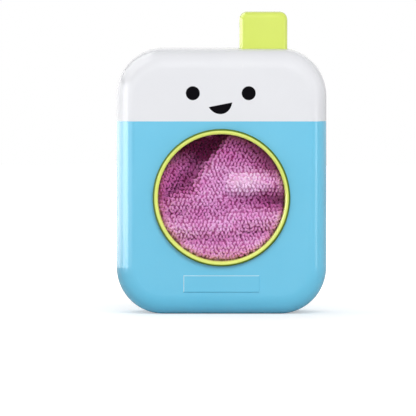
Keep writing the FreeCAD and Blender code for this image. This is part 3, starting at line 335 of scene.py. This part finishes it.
low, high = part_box("return_spring")
spring_axis = ((low.x + high.x) / 2, (low.y + high.y) / 2)
wire = 0.0006
coil_radius = (high.x - low.x) / 2 - wire / 2
coil = wound_wire(spring_axis, coil_radius, foot=low.z + wire / 2, height=high.z - low.z - wire, turns=13)
spring = mesh_from_grid("spring_wire", tube_along(coil, wire / 2, sides=8), closed_columns=True)
close_poles(spring)
spring.data.materials.append(steel)
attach(spring, "housing")
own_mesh(spring)
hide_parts("return_spring")


# Rear and front shell: pale blue ABS, polished in the mould.  The four long screws at the back
# clamp the two halves together, and the small bare plate under the window is moulded on.

blue_plastic = moulded_plastic(
    "blue_plastic", dark=(0.132, 0.550, 0.790), light=(0.155, 0.580, 0.815),
    roughness=(0.16, 0.28), coat=0.5,
)
dress("rear_shell", blue_plastic)


def paint_plate_edge_highlight(shell, middle, half_width, half_height):
    """Paint a highlight on the rounded edge of the bare plate: pale where it faces up or to the left.

    A place is on the plate where the larger of its distances past the half width and past the half
    height is next to nothing.  The painted highlight there grows with the dot product of the
    normal and the direction up and to the left.
    direction up and to the left.
    """
    any_depth = 1.0
    half = (half_width, any_depth, half_height)
    from_middle = shell.vector_math("SUBTRACT", shell.place(), middle)
    past_half = shell.vector_math("SUBTRACT", shell.vector_math("ABSOLUTE", from_middle), half)
    past = shell.add("ShaderNodeSeparateXYZ", {"Vector": past_half}).outputs
    on_plate = shell.spread(shell.math("MAXIMUM", past["X"], past["Z"]), source=(0.0004, 0.0002))
    normal = shell.add("ShaderNodeTexCoord").outputs["Normal"]
    up_and_left = (-0.7, 0.0, 0.7)
    facing = shell.vector_math("DOT_PRODUCT", normal, up_and_left, result="Value")
    painted_highlight = shell.spread(facing, source=(0.08, 0.25), target=(0.0, 0.66))
    # The film is a painted highlight: pale colour on the edges that face up and to the left.
    film = shell.math("MULTIPLY", painted_highlight, on_plate)
    highlight_blue = (0.66, 0.85, 0.93)
    shell.feed("Base Color", shell.mix(film, shell.fed("Base Color"), highlight_blue))


front_plastic = blue_plastic.copy()
front_plastic.name = "blue_front"
plate_middle = (0.0, 0.0, 0.0196)
paint_plate_edge_highlight(Finish(front_plastic.node_tree), plate_middle, half_width=0.0245, half_height=0.0055)
dress("front_shell", front_plastic)


# Drum: lime polypropylene in one moulding, with a half round rim that stands in front of the
# window.  Its shaft runs through the bush and the drum gear is screwed to its end.

drum_middle = np.array([0.0, 0.0, 0.075])
rim_coat = 0.5
# The drum's lime is lighter than the lever's: painted light, which makes the rim look brighter.
rim_plastic = moulded_plastic(
    "lime_rim", dark=(0.735, 0.830, 0.140), light=(0.790, 0.870, 0.180),
    roughness=(0.12, 0.22), coat=rim_coat,
)


def shade_rim_flank(rim, start, end):
    """Paint dark shade on the outer flank of the rim and make it matt, growing from a start to an end
    off the axis.

    The distance off the axis is the length of the place less the drum's middle, without its depth.
    """
    no_depth = (1.0, 0.0, 1.0)
    off_axis = rim.vector_math("MULTIPLY_ADD", rim.place(), no_depth, tuple(-drum_middle))
    flank = rim.spread(rim.vector_math("LENGTH", off_axis, result="Value"), source=(start, end))
    # The dark lime is painted shade; the added roughness and the lost coat make the flank matt.
    shaded_lime = (0.08, 0.16, 0.004)
    added_roughness = 0.7
    rim.feed("Base Color", rim.mix(flank, rim.fed("Base Color"), shaded_lime))
    rim.feed("Roughness", rim.math("MULTIPLY_ADD", flank, added_roughness, rim.fed("Roughness")))
    rim.feed("Coat Weight", rim.spread(flank, target=(rim_coat, 0.0)))


shade_rim_flank(Finish(rim_plastic.node_tree), start=0.0428, end=0.0433)
dress("drum", rim_plastic)


# Washcloth: a square of looped terry, dyed purple, 130 mm a side with a bound hem.  It is stuffed
# into the drum in soft rolls, so its middle shows and its hem lies against the floor.

# Its shape is worked out in millimetres from the drum's middle, with smaller depths nearer the front.
foremost, deepest = -33.5, -13.5


def roll_front(x, z):
    """Depth of the cloth's front at a place seen through the mouth.

    Each roll is a line from one end to the other whose crest lies at a depth; on its left and on
    its right the cloth falls back with the square of the distance, by a fall of its own, which
    eases off further away.  The front is the soft minimum of the rolls.
    """
    rolls = np.array([
        # x and z of the first end, x and z of the second end, their depths, fall on the left and right
        [-44, 4, -14, 36, -25.0, -17.0, 0.050, 0.160],
        [-15, 7, 8, 40, -30.0, -26.0, 0.900, 0.022],
        [9, 9, 42, 10, -33.5, -28.0, 0.220, 0.200],
        [9, -12, 42, -14, -32.0, -29.0, 0.260, 0.110],
        [-44, -9, -9, 2, -22.5, -30.5, 0.300, 0.130],
        [-40, -20, 6, -18, -29.5, -31.5, 0.160, 0.120],
        [-26, -35, 30, -31, -29.0, -30.5, 0.140, 0.100],
    ])
    crest_width, ease, softness = 1.5, 0.06, 0.7
    depths = []
    for x0, z0, x1, z1, y0, y1, fall_left, fall_right in rolls:
        length = np.hypot(x1 - x0, z1 - z0)
        along = np.clip(((x - x0) * (x1 - x0) + (z - z0) * (z1 - z0)) / length ** 2, 0, 1)
        away = np.hypot(x - x0 - along * (x1 - x0), z - z0 - along * (z1 - z0))
        left = ((x1 - x0) * (z - z0) - (z1 - z0) * (x - x0)) / length
        lean = 0.5 + 0.5 * np.tanh(left / crest_width)
        fall = lean * fall_left + (1 - lean) * fall_right
        depths.append(y0 + along * (y1 - y0) + fall * away ** 2 / (1 + ease * away))
    front = -softness * np.log(np.exp(-np.stack(depths) / softness).sum(axis=0))
    return np.clip(front, foremost, deepest)


def pressed_to_disc(u, v):
    """Place on a disc of radius 1 for a place on the flat square, each from -1 to 1."""
    return u * np.sqrt(1 - v * v / 2), v * np.sqrt(1 - u * u / 2)


def cloth_surface(u, v):
    """Points of the stuffed cloth, in metres, for places (u, v) on the flat square.

    The square is pressed to a disc.  Out to about half of its radius the disc fills the drum's
    mouth with rolls; from there it turns back along the wall in gathers, which are a sum of two
    cosines round the axis, steps in beside the paddles and turns in over the floor.
    """
    profile = np.array([
        # share of the disc's radius, distance from the axis, depth once the cloth has turned back
        [0.00, 0.0, 0.0],
        [0.44, 37.2, 0.0],
        [0.50, 38.9, 0.0],
        [0.55, 39.0, 0.0],
        [0.66, 38.4, -13.5],
        [0.74, 31.2, -11.0],
        [0.90, 31.0, 0.0],
        [0.95, 28.5, 1.4],
        [1.00, 23.0, 1.7],
    ])
    share, distance, depth = profile.T
    turned_back = 0.66
    wall_front = -15.0
    gather_height = 1.7
    across, up = pressed_to_disc(u, v)
    radius = np.hypot(across, up)
    turn = np.arctan2(up, across)
    # Eleven uneven waves and seventeen lesser ones, all of them inside the wall.
    wave = 0.55 * np.cos(11 * turn + 2.0 * np.sin(2 * turn)) + 0.3 * np.cos(17 * turn + 1.3) - 0.85
    gathered = gather_height * ramp(radius, 0.50, 0.64) * wave
    out = np.interp(radius, share, distance) + gathered
    x, z = out * np.cos(turn), out * np.sin(turn)
    front = roll_front(x, z)
    wall = ramp(radius, 0.46, turned_back) ** 1.5
    turning = front + wall * (deepest - np.minimum(front, wall_front))
    turning = turning - np.minimum(wall * 3, 1) * np.maximum(front - wall_front, 0)
    y = np.where(radius < turned_back, turning, np.interp(radius, share, depth))
    return np.stack([x, y, z], axis=-1) / 1000 + drum_middle


def mark_painted_light(piece, u, v):
    """Write a share of painted shade for each point, from -0.5 to 1, as an attribute.

    It grows with how far the point lies behind the foremost rolls in the mouth, more so towards the
    top, and fades to one value where the cloth turns back.  The crest that stands out most has a bell
    of its own below 0, which paints a pale highlight on it.
    """
    x, y, z = np.moveaxis((cloth_surface(u, v) - drum_middle) * 1000, -1, 0)
    depth_range = 18.0
    top_start, top_end = 19.0, 36.0
    crest_x, crest_z = 15.0, 10.0
    crest_width, crest_height = 10.0, 6.5
    crest_value, turned_back_value = -0.5, 0.35
    behind = (y - foremost) / depth_range * (0.6 + 0.9 * ramp(z, top_start, top_end))
    bell = np.exp(-((z - crest_z) / crest_height) ** 2 - ((x - crest_x) / crest_width) ** 2)
    inside = ramp(np.hypot(*pressed_to_disc(u, v)), 0.62, 0.52)
    values = (np.clip(behind, 0, 1) + crest_value * bell) * inside + turned_back_value * (1 - inside)
    layer = piece.data.attributes.new("painted_light", "FLOAT", "POINT")
    layer.data.foreach_set("value", np.ascontiguousarray(values, dtype=np.float32).ravel())


def terry_yarn(name, dark, light, fuzz, shaded, deep):
    """Dyed cotton yarn: colour that wanders from loop to loop, twist lines and a soft sheen.

    The colour goes from dark to light with two noises added.  Behind the rolls it is multiplied by
    the shaded and then by the deep colour, as painted shade, and on the foremost crest it is made
    pale, as a painted highlight.
    """
    material, yarn = new_material(name)
    place = yarn.place()
    patch = yarn.noise(place, scale=380.0, detail=3.0)
    fade = yarn.noise(place, scale=55.0, detail=2.0)
    patch_share = 0.65
    wander = yarn.spread(yarn.math("MULTIPLY_ADD", patch, patch_share, fade), source=(0.6, 1.05))
    dyed = yarn.mix(wander, dark, light)
    painted_light = yarn.add("ShaderNodeAttribute", attribute_name="painted_light").outputs["Fac"]
    highlight_pale = (1.0, 0.80, 0.96)
    painted_highlight = yarn.mix(yarn.spread(painted_light, source=(0.1, -0.4), target=(0.0, 0.48)), dyed, highlight_pale)
    shade = yarn.add("ShaderNodeValToRGB", {"Fac": painted_light})
    shaded_at = 0.4
    stops = shade.color_ramp.elements
    stops[0].color = (1.0, 1.0, 1.0, 1.0)
    stops[1].color = (*deep, 1.0)
    stops.new(shaded_at).color = (*shaded, 1.0)
    yarn.feed("Base Color", yarn.mix(1.0, painted_highlight, shade.outputs["Color"], how="MULTIPLY"))
    twist = yarn.noise(place, scale=2600.0, detail=2.0)
    yarn.feed("Normal", yarn.bump(twist, 0.0002, strength=0.7))
    yarn.feed("Roughness", yarn.spread(patch, target=(0.8, 1.0)))
    yarn.feed("Sheen Weight", fuzz)
    yarn.feed("Sheen Roughness", 0.45)
    yarn.feed("Sheen Tint", (1.0, 0.72, 0.95, 1.0))
    yarn.feed("Specular IOR Level", 0.2)
    return material


hem_line = 0.995
side = np.linspace(-hem_line, hem_line, 190)
v, u = np.meshgrid(side, side, indexing="ij")
cloth = mesh_from_grid("terry_cloth", cloth_surface(u, v))
mark_painted_light(cloth, u, v)
# The ground is darker than the pile, as painted shade between the loops.
cloth.data.materials.append(terry_yarn(
    "terry_ground", dark=(0.56, 0.17, 0.42), light=(0.66, 0.24, 0.52), fuzz=0.1,
    shaded=(0.42, 0.14, 0.30), deep=(0.14, 0.02, 0.08),
))
thickness = cloth.modifiers.new("thickness", "SOLIDIFY")
thickness.thickness = 0.0009
thickness.offset = -1.0


def cloth_frame(u, v):
    """Point, direction along u, direction along v and outward normal at places on the cloth."""
    step = 0.004
    point = cloth_surface(u, v)
    along = cloth_surface(u + step, v) - cloth_surface(u - step, v)
    over = cloth_surface(u, v + step) - cloth_surface(u, v - step)
    along /= np.linalg.norm(along, axis=-1, keepdims=True) + 1e-12
    normal = np.cross(along, over)
    normal /= np.linalg.norm(normal, axis=-1, keepdims=True) + 1e-12
    over = np.cross(normal, along)
    return point, along, over, normal


def terry_loops(pitch, wide, tall, yarn, steps, sides):
    """Points and quads of yarn loops that stand in staggered rows on the cloth, and their places.

    A loop is an arch: across by the cosine and up by the sine of an angle from foot to foot, turned
    and tipped a little at random, with a ring of yarn round each of its steps.  Its feet go below
    the cloth.  Where the cloth has turned back, only every third loop is made.  The pitch is a share
    of the square's half side.  The arch's half width, its height and the yarn's radius are metres.
    """
    chance = np.random.default_rng(7)
    last_row, pile_edge, thinned_from = 0.93, 0.94, 0.7
    wander, swing, tip, unevenness = 0.10, 0.45, 0.28, 0.13
    foot_angle = 0.25
    rows = np.arange(-last_row, last_row, pitch)
    u, v = np.meshgrid(rows, rows, indexing="ij")
    u = u + (np.arange(len(rows)) % 2)[None, :] * pitch / 2
    u, v = u.ravel(), v.ravel()
    kept = (np.hypot(*pressed_to_disc(u, v)) < thinned_from) | (np.arange(u.size) % 3 == 0)
    u, v = u[kept], v[kept]
    count = u.size
    u = np.clip(u + chance.normal(0, wander * pitch, count), -pile_edge, pile_edge)
    v = np.clip(v + chance.normal(0, wander * pitch, count), -pile_edge, pile_edge)
    point, along, over, normal = cloth_frame(u, v)
    spin = chance.normal(np.pi / 2, swing, (count, 1))
    first = np.cos(spin) * along + np.sin(spin) * over
    lean = normal + tip * chance.normal(0, 1, (count, 1)) * along
    lean = lean + tip * chance.normal(0, 1, (count, 1)) * over
    lean /= np.linalg.norm(lean, axis=1, keepdims=True)
    second = np.cross(lean, first)
    second /= np.linalg.norm(second, axis=1, keepdims=True)
    first = np.cross(second, lean)[:, None]
    lean = lean[:, None]
    size = chance.normal(1, unevenness, (count, 1, 1))
    sweep = np.linspace(-foot_angle, np.pi + foot_angle, steps)[None, :, None]
    path = point[:, None] + size * (wide * np.cos(sweep) * first + tall * np.sin(sweep) * lean)
    outward = np.cos(sweep) * tall * first + np.sin(sweep) * wide * lean
    outward /= np.linalg.norm(outward, axis=-1, keepdims=True)
    ring = np.linspace(0, 2 * np.pi, sides, endpoint=False)[None, None, :, None]
    rings = np.cos(ring) * outward[:, :, None] + np.sin(ring) * second[:, None, None]
    points = path[:, :, None] + yarn * rings
    index = np.arange(count * steps * sides).reshape(count, steps, sides)
    after = np.roll(index, -1, axis=2)
    quads = np.stack([index[:, :-1], after[:, :-1], after[:, 1:], index[:, 1:]], axis=-1)
    places = np.repeat(np.stack([u, v], axis=1), steps * sides, axis=0)
    return points.reshape(-1, 3), quads.reshape(-1, 4), places


loop_points, loop_quads, loop_places = terry_loops(
    pitch=0.0275, wide=0.00085, tall=0.00130, yarn=0.00080, steps=7, sides=5,
)
pile = mesh_from_faces("terry_pile", loop_points, loop_quads)
mark_painted_light(pile, loop_places[:, 0], loop_places[:, 1])
pile.data.materials.append(terry_yarn(
    "terry_pile", dark=(0.91, 0.39, 0.79), light=(1.0, 0.69, 1.0), fuzz=0.2,
    shaded=(0.70, 0.35, 0.59), deep=(0.19, 0.02, 0.10),
))

run = np.linspace(-hem_line, hem_line, 90)[:-1]
held = np.full(run.size, hem_line)
hem_u = np.concatenate([run, held, -run, -held])
hem_v = np.concatenate([-held, run, held, -run])
hem_tube = tube_along(cloth_surface(hem_u, hem_v), radius=0.0011, sides=8, closed=True)
hem = mesh_from_grid("cloth_hem", hem_tube, closed_rows=True, closed_columns=True)
hem.data.materials.append(terry_yarn(
    "hem_tape", dark=(0.26, 0.04, 0.20), light=(0.36, 0.07, 0.30), fuzz=0.1,
    shaded=(0.5, 0.3, 0.4), deep=(0.2, 0.1, 0.15),
))

for piece in (cloth, pile, hem):
    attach(piece, "cloth")
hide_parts("washcloth")


# Top hood: white ABS in one moulding, a little less glossy than the shells.  Its skirt drops into
# them and two countersunk screws hold its tabs at the back.

white_plastic = moulded_plastic(
    "white_plastic", dark=(0.768, 0.774, 0.808), light=(0.803, 0.809, 0.838),
    roughness=(0.18, 0.30),
)
Finish(white_plastic.node_tree).feed("Specular IOR Level", 0.42)
dress("top_hood", white_plastic)


# Printed eyes and smile: black ink, pad printed on the hood's front.  It is a film a few hundredths
# of a millimetre thick with a soft rounded edge.

def black_print():
    """Black ink whose colour, roughness and skin follow one fine noise, with next to no gloss."""
    material, ink = new_material("black_print")
    grain = ink.noise(ink.place(), scale=1500.0, detail=3.0)
    ink.feed("Base Color", ink.mix(grain, (0.002, 0.002, 0.003), (0.006, 0.005, 0.007)))
    ink.feed("Roughness", ink.spread(grain, target=(0.32, 0.5)))
    ink.feed("Normal", ink.bump(grain, 0.00001))
    ink.feed("Specular IOR Level", 0.02)
    return material


ink_print = black_print()
hood_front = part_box("top_hood")[0].y


def print_film(name, outline, middle):
    """A film of ink inside an outline (n, 2) of x and z, as rings about its middle.

    The rings grow from the middle of the film's back, which is just inside the hood, to the outline,
    rise over a rounded edge and shrink to the middle of its front.
    """
    shrink = np.array([0.0, 1.0, 0.995, 0.985, 0.96, 0.7, 0.35, 0.0])
    lift = np.array([-0.00002, -0.00002, 0.00002, 0.000035, 0.00004, 0.00004, 0.00004, 0.00004])
    flat = middle + shrink[:, None, None] * (outline - middle)
    depth = np.broadcast_to(hood_front - lift[:, None], flat.shape[:2])
    points = np.stack([flat[..., 0], depth, flat[..., 1]], axis=-1)
    film = mesh_from_grid(name, points, closed_columns=True)
    close_poles(film)
    film.data.materials.append(ink_print)
    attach(film, "housing")


eye_radius, eye_height = 0.0045, 0.1421
eye_turn = np.linspace(0, 2 * np.pi, 64, endpoint=False)
eye_round = eye_radius * np.stack([np.cos(eye_turn), np.sin(eye_turn)], axis=1)
for name, eye_x in (("eye_left", -0.0184), ("eye_right", 0.0175)):
    eye_middle = np.array([eye_x, eye_height])
    print_film(name, eye_middle + eye_round, eye_middle)


def smile_outline(left, below_left, below_right, right):
    """A cubic curve from the left to the right corner, drawn down by two points, and a straight lid."""
    share = np.linspace(0, 1, 48)[:, None]
    rest = 1 - share
    bow = rest ** 3 * left + 3 * rest ** 2 * share * below_left
    bow = bow + 3 * rest * share ** 2 * below_right + share ** 3 * right
    lid = right + np.linspace(0, 1, 30)[1:-1, None] * (left - right)
    return np.concatenate([bow, lid])


smile_points = np.array([[-0.00815, 0.1332], [-0.0050, 0.1272], [0.0052, 0.1262], [0.00695, 0.1362]])
smile_middle = np.array([0.0001, 0.1326])
print_film("smile", smile_outline(*smile_points), smile_middle)


# Push lever: a hollow tab moulded in lime polypropylene like the drum.  It slides in the hood's
# slot and is screwed to the rack slide from below, so pressing it drives the gears.

lime_plastic = moulded_plastic(
    "lime_plastic", dark=(0.635, 0.760, 0.095), light=(0.690, 0.800, 0.125),
    roughness=(0.2, 0.32), coat=0.4,
)
dress("push_lever", lime_plastic)


# Floor: a round of pale matt paper under the toy, which keeps its shadow.  To the camera it glows
# a little, more so further away, so that it runs into the white surround.

def pale_paper():
    """Paper with a fine fibre noise, whose glow grows with the distance from the toy's middle."""
    material, paper = new_material("pale_paper")
    place = paper.place()
    fibre = paper.noise(place, scale=90.0, detail=4.0)
    paper.feed("Base Color", paper.mix(fibre, (0.68, 0.68, 0.68), (0.72, 0.72, 0.72)))
    paper.feed("Roughness", 0.9)
    far = paper.vector_math("LENGTH", place, result="Value")
    glow = paper.spread(far, source=(0.12, 0.6), target=(0.40, 1.0))
    seen = paper.add("ShaderNodeLightPath").outputs["Is Camera Ray"]
    paper.feed("Emission Color", paper.math("MULTIPLY", glow, seen))
    paper.feed("Emission Strength", 1.0)
    return material


floor_reach = np.linspace(0.0, 3.0, 12)[:, None]
floor_turn = np.linspace(0, 2 * np.pi, 48, endpoint=False)
floor_x, floor_y = floor_reach * np.cos(floor_turn), -floor_reach * np.sin(floor_turn)
floor_points = np.stack([floor_x, floor_y, np.zeros_like(floor_x)], axis=-1)
floor = mesh_from_grid("floor", floor_points, closed_columns=True)
floor.data.materials.append(pale_paper())


# Studio lamps: cards close by that show only in the gloss, as the bright bands along the upright
# edges, and large soft boxes that light only the colour, so that the flat faces stay clear of hot
# spots.  The camera sees neither.

def soft_box(name, middle, target, width, height, power):
    """A rectangular lamp that faces a target, with its size in metres and its power in watts."""
    lamp = bpy.data.lights.new(name, "AREA")
    lamp.shape = "RECTANGLE"
    lamp.size = width
    lamp.size_y = height
    lamp.energy = power
    holder = bpy.data.objects.new(name, lamp)
    holder.location = middle
    holder.rotation_euler = (Vector(target) - Vector(middle)).to_track_quat("-Z", "Y").to_euler()
    holder.visible_camera = False
    bpy.context.scene.collection.objects.link(holder)
    return holder


hood_aim = (0.0, 0.0, 0.13)
body_aim = (0.0, 0.0, 0.09)
for card in (
    soft_box("left_card", (-0.63, -0.31, 0.15), hood_aim, 0.45, 0.36, 3.6),
    soft_box("near_card", (-0.40, -0.58, 0.15), hood_aim, 0.28, 0.36, 0.55),
    soft_box("side_card", (-0.68, 0.17, 0.15), hood_aim, 0.53, 0.36, 2.6),
    soft_box("back_card", (-0.45, 0.54, 0.15), hood_aim, 0.40, 0.36, 0.9),
    soft_box("right_card", (0.56, -0.40, 0.15), hood_aim, 0.14, 0.36, 0.38),
    soft_box("far_card", (0.67, 0.14, 0.15), hood_aim, 0.78, 0.36, 0.20),
    soft_box("high_card", (-0.46, 0.05, 0.62), hood_aim, 0.95, 0.62, 6.0),
    soft_box("front_card", (-0.31, -1.75, 0.38), body_aim, 1.0, 0.3, 1.0),
):
    card.visible_diffuse = False
for box in (
    soft_box("right_box", (1.2, -0.35, 0.6), body_aim, 1.0, 1.0, 0.6),
    soft_box("key_box", (0.2, -1.60, 1.00), body_aim, 1.2, 0.9, 15.0),
    soft_box("fill_box", (0.1, -1.9, 0.8), body_aim, 2.0, 1.5, 10.1),
    soft_box("top_box", (0.0, -0.1, 1.5), body_aim, 1.2, 1.2, 2.0),
    soft_box("back_box", (0.0, 1.7, 0.9), body_aim, 1.6, 1.2, 16.0),
):
    box.visible_glossy = False


# Surround: white all round, as a white studio looks to the camera and in gloss and glass.  As a
# light on the colours it is much weaker.

world = bpy.data.worlds.new("surround")
world.use_nodes = True
bpy.context.scene.world = world
surround = Finish(world.node_tree, shader="Background")
rays = surround.add("ShaderNodeLightPath").outputs
seen_or_glossy = surround.math("MAXIMUM", rays["Is Camera Ray"], rays["Is Glossy Ray"])
shown = surround.math("MAXIMUM", seen_or_glossy, rays["Is Transmission Ray"])
surround.feed("Color", (1.0, 1.0, 1.0, 1.0))
surround.feed("Strength", surround.spread(shown, target=(0.28, 1.0)))


# Camera: it stands far back and a little above the middle of the toy, as for a catalogue picture,
# so that the picture is all but free of perspective.

picture_pixels = 416
pixels_per_metre = 1550.0
camera_distance = 8.0
camera_lift = math.radians(2.0)
picture_middle = np.array([-0.00865, 0.0, 0.0671])
lens = bpy.data.cameras.new("camera")
lens.sensor_width = 36.0
lens.lens = lens.sensor_width * camera_distance * pixels_per_metre / picture_pixels
lens.clip_end = 20.0
camera = bpy.data.objects.new("camera", lens)
back_and_up = np.array([0.0, -math.cos(camera_lift), math.sin(camera_lift)])
camera.location = picture_middle + camera_distance * back_and_up
camera.rotation_euler = (math.pi / 2 - camera_lift, 0.0, 0.0)
bpy.context.scene.collection.objects.link(camera)
bpy.context.scene.camera = camera
bpy.context.scene.view_settings.view_transform = "Standard"
